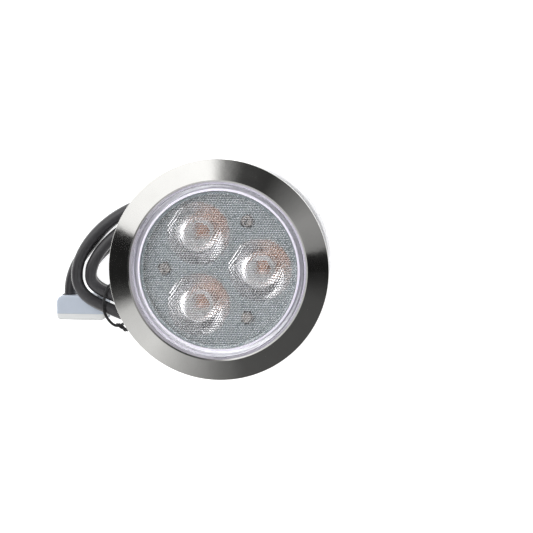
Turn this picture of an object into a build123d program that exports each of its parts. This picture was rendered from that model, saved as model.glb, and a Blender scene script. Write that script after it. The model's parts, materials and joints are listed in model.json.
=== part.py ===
"""Recessed LED spotlight with its lead and a two-part cable connector.

Millimetres. The origin is the centre of the trim ring's seating plane, where the ring rests on the
deck. +Z is the direction of the light, +X and +Y span the seating plane. Everything below z = 0 hangs
in the hole, and the coiled lead lies under the rear cap.
"""
import os
from math import cos, hypot, pi, radians, sin

from build123d import *

# ---------------------------------------------------------------- driving dimensions
RING_RADIUS = 40.0            # trim ring, outside
RING_EDGE = 0.9               # height of the ring's outer edge
RING_RISE = 3.2               # height of the ring's opening above the seating plane
RING_BORE = 32.1
SKIRT_RADIUS = 33.9
SKIRT_DEPTH = 5.2

NOSE_RADIUS = 31.8            # clear nose of the cup, inside the ring
NOSE_BORE = 28.7
NOSE_FRONT = 2.3              # the window's front face
WINDOW_THICKNESS = 3.0
BODY_RADIUS = 36.0
BODY_BORE = 33.0
SHOULDER = -5.7               # top of the wide body, under the skirt
INNER_SHOULDER = -8.7
BODY_END = -38.0
THREAD_RADIUS = 35.0
THREAD_TOP = -31.5

LUG_COUNT = 3                 # bayonet between the nose and the ring
LUG_RADIUS = 33.2
LUG_HALF_ANGLE = 4.0
LUG_BOTTOM = -4.5
LUG_TOP = -3.4
TWIST_ANGLE = 16.0            # turn that frees the ring

LENS_COUNT = 3
LENS_PITCH_RADIUS = 14.8
LENS_RADIUS = 12.2
LENS_TOP = -2.4
LENS_FLANGE = 1.2
LENS_FOOT_RADIUS = 4.6
LENS_HEIGHT = 9.4
LENS_WELL_RADIUS = 3.5
LENS_WELL_DEPTH = 4.2
LENS_WELL_SAG = 1.0           # how far the well's domed roof hangs down

SCREW_PITCH_RADIUS = 20.0
SCREW_HEAD_RADIUS = 2.35
SCREW_HEAD_HEIGHT = 1.8
SCREW_SHANK_RADIUS = 1.25
FREE_HOLE_RADIUS = 1.5
SNUG_HOLE_RADIUS = 1.3        # threads are drawn as plain holes with a small gap

HOLDER_RADIUS = 28.4
HOLDER_TOP = -5.0
HOLDER_THICKNESS = 1.6
BOARD_RADIUS = 27.0
LED_BOARD_TOP = -12.6
LED_BOARD_THICKNESS = 1.6
PAD_THICKNESS = 0.5
SINK_RADIUS = 32.8
SINK_RIM_BORE = 29.6
SINK_PLATE = 5.0
FIN_END = -26.4
FIN_THICKNESS = 1.6
FIN_SPACING = 5.2
FIN_COUNT = 9

DRIVER_BOARD_TOP = -28.5
DRIVER_BOARD_THICKNESS = 1.6
STANDOFF_PITCH_RADIUS = 21.5

CAP_RADIUS = 37.2
CAP_BOTTOM = -43.0
CAP_FLOOR = 3.5
CAP_WALL_BORE = 35.15
CAP_WALL_TOP = -31.7
SPIGOT_BORE = 30.6
CAP_FLUTES = 24
GASKET_BORE = 33.2

GLAND_SHANK_RADIUS = 6.0
GLAND_HEX = 15.0              # across flats
GLAND_END = -52.5

CABLE_RADIUS = 2.3
CABLE_INNER_END = -36.6
RUNNING_GAP = 0.05
WIRE_RADIUS = 0.7

CONNECTOR_LEFT = -72.4        # the connector's block, lying along X
CONNECTOR_RIGHT = -53.0
CONNECTOR_BACK = -16.8        # the lead enters this face
CONNECTOR_SEAM = -24.0        # where the lid meets the base
CONNECTOR_FRONT = -26.5
CONNECTOR_TOP = -50.9
CONNECTOR_BOTTOM = -62.0
LEAD_ENTRY_X = -68.0
HINGE_Y = -25.1
HINGE_Z = -60.5
KNUCKLE_RADIUS = 1.4
HINGE_PIN_RADIUS = 0.6

# ---------------------------------------------------------------- derived heights and places
LENS_BOTTOM = LENS_TOP - LENS_HEIGHT
HOLDER_BOTTOM = HOLDER_TOP - HOLDER_THICKNESS
LED_BOARD_BOTTOM = LED_BOARD_TOP - LED_BOARD_THICKNESS
PAD_BOTTOM = LED_BOARD_BOTTOM - PAD_THICKNESS
SINK_BOTTOM = PAD_BOTTOM - SINK_PLATE
DRIVER_BOARD_BOTTOM = DRIVER_BOARD_TOP - DRIVER_BOARD_THICKNESS
CAP_FLOOR_TOP = CAP_BOTTOM + CAP_FLOOR
CONNECTOR_MIDDLE = (CONNECTOR_TOP + CONNECTOR_BOTTOM) / 2
LENS_ANGLES = [0, 120, 240]
SCREW_ANGLES = [60, 180, 300]
WIRE_ANGLES = {"red": 84, "black": 96}
WIRE_PITCH_RADIUS = 24.6

Z_AXIS = Axis((0, 0, 0), (0, 0, 1))

os.makedirs("parts", exist_ok=True)


def save(piece, name):
    """Label a finished piece and write it as its own STEP file."""
    piece.part.label = name
    export_step(piece.part, f"parts/{name}.step")


def polar(radius, angle):
    """Point of the seating plane at a radius and an angle in degrees."""
    return (radius * cos(radians(angle)), radius * sin(radians(angle)))


def section_plane(x=0.0, y=0.0):
    """Upright plane through (x, y): its own x is +X and its own y is +Z."""
    return Plane(origin=(x, y, 0), x_dir=(1, 0, 0), z_dir=(0, -1, 0))


def ring_sector(inner, outer, start, end):
    """Flat ring sector from one angle to another, as corner points and arcs."""
    middle = (start + end) / 2
    with BuildLine() as outline:
        ThreePointArc(polar(outer, start), polar(outer, middle), polar(outer, end))
        Line(polar(outer, end), polar(inner, end))
        ThreePointArc(polar(inner, end), polar(inner, middle), polar(inner, start))
        Line(polar(inner, start), polar(outer, start))
    return outline.line


# ================================================================ trim ring
LUG_ANGLES = [index * 360 / LUG_COUNT + 30 for index in range(LUG_COUNT)]
SLOT_CLEARANCE = 1.2          # degrees at each end of the twist slot

with BuildPart() as bezel_ring:
    with BuildSketch(section_plane()):
        with BuildLine():
            Polyline(
                (RING_BORE, -SKIRT_DEPTH),
                (SKIRT_RADIUS, -SKIRT_DEPTH),
                (SKIRT_RADIUS, 0),
                (RING_RADIUS, 0),
                (RING_RADIUS, RING_EDGE),
                (RING_BORE + 0.5, RING_RISE),
                (RING_BORE, RING_RISE - 0.4),
                close=True,
            )
        make_face()
    revolve(axis=Z_AXIS)
    outer_edges = bezel_ring.edges().filter_by(GeomType.CIRCLE).filter_by(
        lambda edge: edge.radius > RING_RADIUS - 0.01
    )
    fillet(outer_edges, 0.25)
    # Each lug of the cup sits in a slot that runs round the skirt and opens downwards at one end. The
    # ring turns by +TWIST_ANGLE to free itself, so its slots reach that far back from the lugs.
    for lug_angle in LUG_ANGLES:
        low = lug_angle - TWIST_ANGLE - LUG_HALF_ANGLE - SLOT_CLEARANCE
        high = lug_angle + LUG_HALF_ANGLE + SLOT_CLEARANCE
        mouth = low + 2 * (LUG_HALF_ANGLE + SLOT_CLEARANCE)
        with BuildSketch(Plane.XY.offset(LUG_BOTTOM - 0.15)):
            with BuildLine():
                add(ring_sector(RING_BORE - 0.5, SKIRT_RADIUS + 0.5, low, high))
            make_face()
        extrude(amount=LUG_TOP - LUG_BOTTOM + 0.3, mode=Mode.SUBTRACT)
        with BuildSketch(Plane.XY.offset(-SKIRT_DEPTH - 0.5)):
            with BuildLine():
                add(ring_sector(RING_BORE - 0.5, SKIRT_RADIUS + 0.5, low, mouth))
            make_face()
        extrude(amount=SKIRT_DEPTH + 0.5 + LUG_BOTTOM, mode=Mode.SUBTRACT)
save(bezel_ring, "bezel_ring")

# ================================================================ clear cup: window, nose and body
with BuildPart() as lens_cup:
    with BuildSketch(section_plane()):
        with BuildLine():
            Polyline(
                (0, NOSE_FRONT),
                (NOSE_RADIUS, NOSE_FRONT),
                (NOSE_RADIUS, SHOULDER),
                (BODY_RADIUS, SHOULDER),
                (BODY_RADIUS, THREAD_TOP),
                (THREAD_RADIUS, THREAD_TOP),
                (THREAD_RADIUS, BODY_END),
                (BODY_BORE, BODY_END),
                (BODY_BORE, INNER_SHOULDER),
                (NOSE_BORE, INNER_SHOULDER),
                (NOSE_BORE, NOSE_FRONT - WINDOW_THICKNESS),
                (0, NOSE_FRONT - WINDOW_THICKNESS),
                close=True,
            )
        make_face()
    revolve(axis=Z_AXIS)
    front_edge = lens_cup.edges().filter_by(GeomType.CIRCLE).sort_by(Axis.Z)[-1]
    fillet(front_edge, 1.2)
    shoulder_edge = lens_cup.edges().filter_by(GeomType.CIRCLE).filter_by(
        lambda edge: abs(edge.radius - BODY_RADIUS) < 0.01
        and abs(edge.arc_center.Z - SHOULDER) < 0.01
    )
    fillet(shoulder_edge, 0.8)
    for lug_angle in LUG_ANGLES:
        with BuildSketch(Plane.XY.offset(LUG_BOTTOM)):
            with BuildLine():
                start = lug_angle - LUG_HALF_ANGLE
                end = lug_angle + LUG_HALF_ANGLE
                add(ring_sector(NOSE_RADIUS - 0.5, LUG_RADIUS, start, end))
            make_face()
        extrude(amount=LUG_TOP - LUG_BOTTOM)
save(lens_cup, "lens_cup")


# ================================================================ collimator lenses
def lens_side_points():
    """Side of a collimator in its own section: under the flange, half way down, and at the foot."""
    return (
        (LENS_RADIUS - 0.9, LENS_TOP - LENS_FLANGE),
        (LENS_RADIUS - 3.5, (LENS_TOP - LENS_FLANGE + LENS_BOTTOM) / 2 + 0.4),
        (LENS_FOOT_RADIUS, LENS_BOTTOM),
    )


WELL_ROOF = (LENS_WELL_RADIUS**2 + LENS_WELL_SAG**2) / (2 * LENS_WELL_SAG)

for letter, angle in zip("abc", LENS_ANGLES):
    lens_x, lens_y = polar(LENS_PITCH_RADIUS, angle)
    side_top, side_middle, side_foot = lens_side_points()
    well_top = LENS_BOTTOM + LENS_WELL_DEPTH
    with BuildPart() as collimator:
        with BuildSketch(section_plane(lens_x, lens_y)):
            with BuildLine():
                Line((0, LENS_TOP), (LENS_RADIUS, LENS_TOP))
                Line((LENS_RADIUS, LENS_TOP), (LENS_RADIUS, LENS_TOP - LENS_FLANGE))
                Line((LENS_RADIUS, LENS_TOP - LENS_FLANGE), side_top)
                ThreePointArc(side_top, side_middle, side_foot)
                Line(side_foot, (LENS_WELL_RADIUS, LENS_BOTTOM))
                Line((LENS_WELL_RADIUS, LENS_BOTTOM), (LENS_WELL_RADIUS, well_top))
                # The well's roof bulges down towards the emitter, as a condensing lens.
                RadiusArc((LENS_WELL_RADIUS, well_top), (0, well_top - LENS_WELL_SAG), WELL_ROOF)
                Line((0, well_top - LENS_WELL_SAG), (0, LENS_TOP))
            make_face()
        revolve(axis=Axis((lens_x, lens_y, 0), (0, 0, 1)))
    save(collimator, f"collimator_{letter}")

# ================================================================ tray that holds the collimators
side_top, side_middle, side_foot = lens_side_points()
HOLDER_HOLE_RADIUS = LENS_RADIUS - 1.75   # the lens's taper lands on the edge of this hole

with BuildPart() as lens_holder:
    with BuildSketch(Plane.XY.offset(HOLDER_BOTTOM)):
        Circle(HOLDER_RADIUS)
    extrude(amount=HOLDER_THICKNESS)
    with BuildSketch(Plane.XY.offset(HOLDER_TOP)):
        Circle(HOLDER_RADIUS)
        Circle(HOLDER_RADIUS - 1.0, mode=Mode.SUBTRACT)
    extrude(amount=NOSE_FRONT - WINDOW_THICKNESS - 0.15 - HOLDER_TOP)
    with BuildSketch(Plane.XY.offset(LED_BOARD_TOP)):
        for angle in SCREW_ANGLES:
            with Locations(polar(SCREW_PITCH_RADIUS, angle)):
                Circle(3.2)
    extrude(amount=HOLDER_BOTTOM - LED_BOARD_TOP)
    with BuildSketch(Plane.XY.offset(HOLDER_TOP)):
        for angle in LENS_ANGLES:
            with Locations(polar(LENS_PITCH_RADIUS, angle)):
                Circle(HOLDER_HOLE_RADIUS)
    extrude(amount=-HOLDER_THICKNESS, mode=Mode.SUBTRACT)
    with BuildSketch(Plane.XY.offset(HOLDER_TOP)):
        for angle in SCREW_ANGLES:
            with Locations(polar(SCREW_PITCH_RADIUS, angle)):
                Circle(SNUG_HOLE_RADIUS)
    extrude(amount=LED_BOARD_TOP - HOLDER_TOP, mode=Mode.SUBTRACT)
save(lens_holder, "lens_holder")


def pan_screws(head_base, upward, pitch_radius, angles, shank_length):
    """Pan head screws with a cross recess. The head stands up or down from head_base."""
    facing = 1 if upward else -1
    with BuildPart() as screws:
        with BuildSketch(Plane.XY.offset(head_base)):
            for angle in angles:
                with Locations(polar(pitch_radius, angle)):
                    Circle(SCREW_HEAD_RADIUS)
        extrude(amount=facing * SCREW_HEAD_HEIGHT)
        head_tops = screws.edges().filter_by(GeomType.CIRCLE).group_by(Axis.Z)[-1 if upward else 0]
        fillet(head_tops, 0.8)
        with BuildSketch(Plane.XY.offset(head_base)):
            for angle in angles:
                with Locations(polar(pitch_radius, angle)):
                    Circle(SCREW_SHANK_RADIUS)
        extrude(amount=-facing * shank_length)
        with BuildSketch(Plane.XY.offset(head_base + facing * SCREW_HEAD_HEIGHT)):
            for angle in angles:
                with Locations(Location((*polar(pitch_radius, angle), 0), (0, 0, angle))):
                    Rectangle(2.4, 0.55)
                    Rectangle(0.55, 2.4)
        extrude(amount=-facing * 0.9, mode=Mode.SUBTRACT)
    return screws


optics_screws = pan_screws(HOLDER_TOP, True, SCREW_PITCH_RADIUS, SCREW_ANGLES, 13.0)
save(optics_screws, "optics_screws")

# ================================================================ emitters and their board
LED_SIZE = 3.5
LED_BODY = 0.7
LED_DOME_RADIUS = 1.45

for letter, angle in zip("abc", LENS_ANGLES):
    led_x, led_y = polar(LENS_PITCH_RADIUS, angle)
    with BuildPart() as led:
        with BuildSketch(Plane.XY.offset(LED_BOARD_TOP)):
            with Locations((led_x, led_y)):
                RectangleRounded(LED_SIZE, LED_SIZE, 0.2)
        extrude(amount=LED_BODY)
        with BuildSketch(section_plane(led_x, led_y)):
            with BuildLine():
                dome_base = LED_BOARD_TOP + LED_BODY
                Line((0, dome_base - 0.2), (LED_DOME_RADIUS, dome_base - 0.2))
                Line((LED_DOME_RADIUS, dome_base - 0.2), (LED_DOME_RADIUS, dome_base))
                ThreePointArc(
                    (LED_DOME_RADIUS, dome_base),
                    (LED_DOME_RADIUS * cos(pi / 4), dome_base + LED_DOME_RADIUS * sin(pi / 4)),
                    (0, dome_base + LED_DOME_RADIUS),
                )
                Line((0, dome_base + LED_DOME_RADIUS), (0, dome_base - 0.2))
            make_face()
        revolve(axis=Axis((led_x, led_y, 0), (0, 0, 1)))
    save(led, f"led_{letter}")


def round_plate(top, thickness, radius, screw_hole, wire_hole):
    """Round plate with the three screw holes and the two wire holes of the optics stack."""
    with BuildPart() as plate:
        with BuildSketch(Plane.XY.offset(top - thickness)):
            Circle(radius)
            for angle in SCREW_ANGLES:
                with Locations(polar(SCREW_PITCH_RADIUS, angle)):
                    Circle(screw_hole, mode=Mode.SUBTRACT)
            for angle in WIRE_ANGLES.values():
                with Locations(polar(WIRE_PITCH_RADIUS, angle)):
                    Circle(wire_hole, mode=Mode.SUBTRACT)
        extrude(amount=thickness)
    return plate


led_board = round_plate(LED_BOARD_TOP, LED_BOARD_THICKNESS, BOARD_RADIUS, FREE_HOLE_RADIUS, 1.0)
save(led_board, "led_board")

thermal_pad = round_plate(LED_BOARD_BOTTOM, PAD_THICKNESS, BOARD_RADIUS, 2.0, 1.4)
save(thermal_pad, "thermal_pad")

# ================================================================ heat sink
STANDOFF_ANGLES = [0, 120, 240]
STANDOFF_HEX = 5.0

with BuildPart() as heat_sink:
    with BuildSketch(Plane.XY.offset(SINK_BOTTOM)):
        Circle(SINK_RADIUS)
    extrude(amount=SINK_PLATE)
    with BuildSketch(Plane.XY.offset(PAD_BOTTOM)):
        Circle(SINK_RADIUS)
        Circle(SINK_RIM_BORE, mode=Mode.SUBTRACT)
    extrude(amount=INNER_SHOULDER - 0.1 - PAD_BOTTOM)
    with BuildSketch(Plane.XY.offset(FIN_END)):
        with GridLocations(FIN_SPACING, 1, FIN_COUNT, 1):
            Rectangle(FIN_THICKNESS, 2 * SINK_RADIUS)
        Circle(SPIGOT_BORE - 1.2, mode=Mode.INTERSECT)
        for angle in STANDOFF_ANGLES:
            with Locations(polar(STANDOFF_PITCH_RADIUS, angle)):
                Circle(3.6, mode=Mode.SUBTRACT)
        with Locations(polar(WIRE_PITCH_RADIUS, 90)):
            Circle(4.0, mode=Mode.SUBTRACT)
    extrude(amount=SINK_BOTTOM - FIN_END)
    with BuildSketch(Plane.XY.offset(PAD_BOTTOM)):
        for angle in SCREW_ANGLES:
            with Locations(polar(SCREW_PITCH_RADIUS, angle)):
                Circle(SNUG_HOLE_RADIUS)
    extrude(amount=-4.0, mode=Mode.SUBTRACT)
    with BuildSketch(Plane.XY.offset(PAD_BOTTOM)):
        for angle in WIRE_ANGLES.values():
            with Locations(polar(WIRE_PITCH_RADIUS, angle)):
                Circle(1.4)
    extrude(amount=-SINK_PLATE, mode=Mode.SUBTRACT)
    with BuildSketch(Plane.XY.offset(SINK_BOTTOM)):
        for angle in STANDOFF_ANGLES:
            with Locations(polar(STANDOFF_PITCH_RADIUS, angle)):
                Circle(SNUG_HOLE_RADIUS)
    extrude(amount=3.6, mode=Mode.SUBTRACT)
save(heat_sink, "heat_sink")

# ================================================================ driver board on three standoffs
with BuildPart() as board_standoffs:
    with BuildSketch(Plane.XY.offset(DRIVER_BOARD_TOP)):
        for angle in STANDOFF_ANGLES:
            with Locations(polar(STANDOFF_PITCH_RADIUS, angle)):
                RegularPolygon(STANDOFF_HEX / 2, 6, major_radius=False)
    extrude(amount=SINK_BOTTOM - DRIVER_BOARD_TOP)
    with BuildSketch(Plane.XY.offset(SINK_BOTTOM)):
        for angle in STANDOFF_ANGLES:
            with Locations(polar(STANDOFF_PITCH_RADIUS, angle)):
                Circle(SCREW_SHANK_RADIUS)
    extrude(amount=3.2)
    with BuildSketch(Plane.XY.offset(DRIVER_BOARD_TOP)):
        for angle in STANDOFF_ANGLES:
            with Locations(polar(STANDOFF_PITCH_RADIUS, angle)):
                Circle(SNUG_HOLE_RADIUS)
    extrude(amount=6.0, mode=Mode.SUBTRACT)
save(board_standoffs, "board_standoffs")

with BuildPart() as driver_board:
    with BuildSketch(Plane.XY.offset(DRIVER_BOARD_BOTTOM)):
        Circle(BOARD_RADIUS - 0.6)
        for angle in STANDOFF_ANGLES:
            with Locations(polar(STANDOFF_PITCH_RADIUS, angle)):
                Circle(FREE_HOLE_RADIUS, mode=Mode.SUBTRACT)
        for angle in WIRE_ANGLES.values():
            with Locations(polar(WIRE_PITCH_RADIUS, angle)):
                Circle(0.8, mode=Mode.SUBTRACT)
    extrude(amount=DRIVER_BOARD_THICKNESS)
save(driver_board, "driver_board")

driver_screws = pan_screws(DRIVER_BOARD_BOTTOM, False, STANDOFF_PITCH_RADIUS, STANDOFF_ANGLES, 6.0)
save(driver_screws, "driver_screws")

# ---------------------------------------------------------------- components under the board
INDUCTOR_PLACE = (-13.0, 1.0)
INDUCTOR_HEIGHT = 5.6
inductor_axis = Axis((*INDUCTOR_PLACE, 0), (0, 0, 1))

with BuildPart() as inductor_core:
    with BuildSketch(section_plane(*INDUCTOR_PLACE)):
        with BuildLine():
            Polyline(
                (0, DRIVER_BOARD_BOTTOM),
                (4.5, DRIVER_BOARD_BOTTOM),
                (4.5, DRIVER_BOARD_BOTTOM - 1.0),
                (2.2, DRIVER_BOARD_BOTTOM - 1.0),
                (2.2, DRIVER_BOARD_BOTTOM - INDUCTOR_HEIGHT + 1.0),
                (4.5, DRIVER_BOARD_BOTTOM - INDUCTOR_HEIGHT + 1.0),
                (4.5, DRIVER_BOARD_BOTTOM - INDUCTOR_HEIGHT),
                (0, DRIVER_BOARD_BOTTOM - INDUCTOR_HEIGHT),
                close=True,
            )
        make_face()
    revolve(axis=inductor_axis)
save(inductor_core, "inductor_core")

with BuildPart() as inductor_winding:
    with BuildSketch(Plane.XY.offset(DRIVER_BOARD_BOTTOM - INDUCTOR_HEIGHT + 1.1)):
        with Locations(INDUCTOR_PLACE):
            Circle(4.0)
            Circle(2.3, mode=Mode.SUBTRACT)
    extrude(amount=INDUCTOR_HEIGHT - 2.2)
save(inductor_winding, "inductor_winding")

CAPACITOR_RADIUS = 3.15
CAPACITOR_HEIGHT = 7.0
for name, place in {"input_capacitor": (7.0, -16.5), "output_capacitor": (-1.5, -17.5)}.items():
    with BuildPart() as capacitor:
        with BuildSketch(Plane.XY.offset(DRIVER_BOARD_BOTTOM - CAPACITOR_HEIGHT)):
            with Locations(place):
                Circle(CAPACITOR_RADIUS)
        extrude(amount=CAPACITOR_HEIGHT)
        rims = capacitor.edges().filter_by(GeomType.CIRCLE).group_by(Axis.Z)[0]
        fillet(rims, 0.4)
    save(capacitor, name)


def chip_package(place, length, width, height, pins):
    """Small moulded package with a row of flat pins along both long sides."""
    with BuildPart() as package:
        with BuildSketch(Plane.XY.offset(DRIVER_BOARD_BOTTOM - height)):
            with Locations(place):
                Rectangle(length, width)
        extrude(amount=height - 0.15)
        chamfer(package.edges().group_by(Axis.Z)[0], 0.2)
        with BuildSketch(Plane.XY.offset(DRIVER_BOARD_BOTTOM - 0.5)):
            with Locations(place):
                with GridLocations(length / pins, 1, pins, 1):
                    Rectangle(0.45, width + 2.0)
        extrude(amount=0.5)
    return package


rectifier = chip_package((13.0, 10.0), 6.4, 4.6, 2.4, 2)
save(rectifier, "rectifier")
driver_chip = chip_package((0.0, 15.0), 5.0, 4.0, 1.6, 4)
save(driver_chip, "driver_chip")

# ================================================================ wires inside the housing
for colour, angle in WIRE_ANGLES.items():
    wire_x, wire_y = polar(WIRE_PITCH_RADIUS, angle)
    with BuildPart() as led_wire:
        with BuildLine() as wire_path:
            Spline(
                (wire_x, wire_y, DRIVER_BOARD_BOTTOM - 0.6),
                (wire_x, wire_y, DRIVER_BOARD_TOP + 1.5),
                (wire_x, wire_y, LED_BOARD_TOP + 0.6),
            )
        with BuildSketch(Plane(origin=wire_path.line @ 0, z_dir=wire_path.line % 0)):
            Circle(WIRE_RADIUS)
        sweep(path=wire_path.line)
    save(led_wire, f"led_wire_{colour}")

for colour, side in {"brown": 1, "blue": -1}.items():
    with BuildPart() as supply_wire:
        with BuildLine() as wire_path:
            Spline(
                (side * 1.0, 0, CABLE_INNER_END + 0.15),
                (side * 2.4, 2.0, CABLE_INNER_END + 2.6),
                (side * 5.0, 5.0, DRIVER_BOARD_BOTTOM - 0.1),
                tangents=((0, 0, 1), (0, 0, 1)),
            )
        with BuildSketch(Plane(origin=wire_path.line @ 0, z_dir=wire_path.line % 0)):
            Circle(WIRE_RADIUS)
        sweep(path=wire_path.line)
    save(supply_wire, f"supply_wire_{colour}")

# ================================================================ rear cap and its gasket
with BuildPart() as rear_cap:
    with BuildSketch(section_plane()):
        with BuildLine():
            Polyline(
                (GLAND_SHANK_RADIUS + 0.1, CAP_BOTTOM),
                (CAP_RADIUS, CAP_BOTTOM),
                (CAP_RADIUS, CAP_WALL_TOP),
                (CAP_WALL_BORE, CAP_WALL_TOP),
                (CAP_WALL_BORE, CAP_FLOOR_TOP),
                (SINK_RADIUS, CAP_FLOOR_TOP),
                (SINK_RADIUS, SINK_BOTTOM - 0.1),
                (SPIGOT_BORE, SINK_BOTTOM - 0.1),
                (SPIGOT_BORE, CAP_FLOOR_TOP),
                (GLAND_SHANK_RADIUS + 0.1, CAP_FLOOR_TOP),
                close=True,
            )
        make_face()
    revolve(axis=Z_AXIS)
    rim_edges = rear_cap.edges().filter_by(GeomType.CIRCLE).filter_by(
        lambda edge: edge.radius > CAP_RADIUS - 0.01
    )
    chamfer(rim_edges, 0.6)
    # Shallow flutes give the fingers a hold when the cap is screwed on.
    with BuildSketch(Plane.XY.offset(CAP_BOTTOM)):
        with PolarLocations(CAP_RADIUS + 1.2, CAP_FLUTES):
            Circle(1.7)
    extrude(amount=7.5, mode=Mode.SUBTRACT)
save(rear_cap, "rear_cap")

with BuildPart() as cap_gasket:
    with BuildSketch(Plane.XY.offset(CAP_FLOOR_TOP)):
        Circle(THREAD_RADIUS)
        Circle(GASKET_BORE, mode=Mode.SUBTRACT)
    extrude(amount=BODY_END - CAP_FLOOR_TOP)
save(cap_gasket, "cap_gasket")

# ================================================================ cable gland
GLAND_FLANGE = 2.4
GLAND_COLLET_RADIUS = 5.6
GLAND_COLLET_END = -50.6
BUSH_RADIUS = 4.2
BUSH_TOP = -44.4
GLAND_BORE = 2.7

with BuildPart() as gland_body:
    with BuildSketch(Plane.XY.offset(CAP_BOTTOM - 0.9 - GLAND_FLANGE)):
        RegularPolygon(GLAND_HEX / 2, 6, major_radius=False)
    extrude(amount=GLAND_FLANGE)
    with BuildSketch(Plane.XY.offset(GLAND_COLLET_END)):
        Circle(GLAND_COLLET_RADIUS)
    extrude(amount=CAP_BOTTOM - 0.9 - GLAND_COLLET_END)
    with BuildSketch(Plane.XY.offset(CAP_BOTTOM - 0.9)):
        Circle(GLAND_SHANK_RADIUS)
    extrude(amount=CAP_FLOOR + 4.4)
    with BuildSketch(Plane.XY.offset(GLAND_COLLET_END)):
        Circle(BUSH_RADIUS)
    extrude(amount=BUSH_TOP - GLAND_COLLET_END, mode=Mode.SUBTRACT)
    with BuildSketch(Plane.XY.offset(BUSH_TOP)):
        Circle(GLAND_BORE)
    extrude(amount=12.0, mode=Mode.SUBTRACT)
save(gland_body, "gland_body")

with BuildPart() as gland_o_ring:
    with BuildSketch(section_plane()):
        with Locations((GLAND_SHANK_RADIUS + 0.55, CAP_BOTTOM - 0.45)):
            Circle(0.45)
    revolve(axis=Z_AXIS)
save(gland_o_ring, "gland_o_ring")

with BuildPart() as gland_locknut:
    with BuildSketch(Plane.XY.offset(CAP_FLOOR_TOP)):
        RegularPolygon(GLAND_HEX / 2, 6, major_radius=False)
        Circle(GLAND_SHANK_RADIUS + RUNNING_GAP, mode=Mode.SUBTRACT)
    extrude(amount=2.6)
save(gland_locknut, "gland_locknut")

with BuildPart() as gland_bush:
    with BuildSketch(Plane.XY.offset(GLAND_COLLET_END)):
        Circle(BUSH_RADIUS)
        Circle(CABLE_RADIUS + RUNNING_GAP, mode=Mode.SUBTRACT)
    extrude(amount=BUSH_TOP - GLAND_COLLET_END)
save(gland_bush, "gland_bush")

with BuildPart() as gland_nut:
    with BuildSketch(section_plane()):
        with BuildLine():
            Polyline(
                (GLAND_BORE, GLAND_END),
                (5.2, GLAND_END),
                (7.4, GLAND_END + 2.6),
                (7.4, CAP_BOTTOM - 1.1 - GLAND_FLANGE),
                (GLAND_COLLET_RADIUS + RUNNING_GAP, CAP_BOTTOM - 1.1 - GLAND_FLANGE),
                (GLAND_COLLET_RADIUS + RUNNING_GAP, GLAND_COLLET_END - 0.1),
                (GLAND_BORE, GLAND_COLLET_END - 0.1),
                close=True,
            )
        make_face()
    revolve(axis=Z_AXIS)
    with BuildSketch(Plane.XY.offset(GLAND_END + 2.4)):
        Circle(9.5)
        RegularPolygon(7.0, 6, major_radius=False, mode=Mode.SUBTRACT)
    extrude(amount=3.2, mode=Mode.SUBTRACT)
save(gland_nut, "gland_nut")

# ================================================================ coiled lead
# Centre line of the outer turn as seen from above, from its right end anticlockwise. It is an egg that
# points to the left. Each turn runs inside or below the one that follows it.
COIL_TURN = [
    (26, -5), (23, 8), (12, 18.5), (-6, 23.5), (-26, 22.5), (-44.6, 16.6), (-52.3, 11.2), (-59.2, 3.4),
    (-62.9, -5.1), (-62.8, -11.4), (-60.2, -15.8), (-53.6, -19.9), (-45.8, -23.1), (-28, -27.5),
    (-8, -28.5), (13, -21),
]
UPPER_LAYER = -48.0
LOWER_LAYER = -53.1
LEAD_LAYER = CONNECTOR_MIDDLE + 0.35
FLOOR_LAYER = -59.5
# Inset and height of the lead at each quarter turn, from the gland to the last turn.
COIL_QUARTERS = [
    (8.0, FLOOR_LAYER), (9.8, FLOOR_LAYER + 3.0), (4.4, LOWER_LAYER - 0.1), (5.4, LOWER_LAYER),
    (8.4, LOWER_LAYER), (5.8, UPPER_LAYER), (5.6, UPPER_LAYER), (5.4, UPPER_LAYER),
    (5.3, UPPER_LAYER), (0, UPPER_LAYER), (0, UPPER_LAYER), (0, UPPER_LAYER),
    (-0.8, UPPER_LAYER), (0, LEAD_LAYER), (0, LEAD_LAYER),
]
STATIONS = len(COIL_TURN)
LAST_STATION = 3 * STATIONS + 7


def inset_point(station, inset):
    """Point of the outer turn at a station, moved square to the turn towards its inside."""
    x, y = COIL_TURN[station % STATIONS]
    before = COIL_TURN[(station - 1) % STATIONS]
    after = COIL_TURN[(station + 1) % STATIONS]
    along_x, along_y = after[0] - before[0], after[1] - before[1]
    length = hypot(along_x, along_y)
    return (x - along_y / length * inset, y + along_x / length * inset)


def coil_point(station):
    """Point of the lead's centre line at a station, counted on through the turns."""
    quarter = station * 4 / STATIONS
    before = int(quarter)
    share = quarter - before
    low_inset, low_height = COIL_QUARTERS[before]
    high_inset, high_height = COIL_QUARTERS[before + 1]
    inset = low_inset + (high_inset - low_inset) * share
    height = low_height + (high_height - low_height) * share
    return (*inset_point(station, inset), height)


BEND_RADIUS = GLAND_END - FLOOR_LAYER
EXIT_ANGLE = -90              # the way the lead bends out from under the gland

exit_x, exit_y = cos(radians(EXIT_ANGLE)), sin(radians(EXIT_ANGLE))
coil_points = [
    (BEND_RADIUS * exit_x, BEND_RADIUS * exit_y, FLOOR_LAYER),
    (3.6, -12.2, FLOOR_LAYER),
    (11.0, -12.4, FLOOR_LAYER),
]
coil_points += [coil_point(station) for station in range(LAST_STATION + 1)]

# Below the last turn the lead runs through one wide bend and then straight into the connector.
LEAD_BEND = 24.0
LEAD_TURN = 36.0              # degrees
LEAD_BEND_END = CONNECTOR_BACK + 0.6
CABLE_END_DEPTH = 1.9         # how far the lead reaches into the connector


def bend_point(angle):
    """Point of the wide bend, so many degrees before its end."""
    x = LEAD_ENTRY_X + LEAD_BEND * (1 - cos(radians(angle)))
    return (x, LEAD_BEND_END + LEAD_BEND * sin(radians(angle)), LEAD_LAYER)


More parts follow.
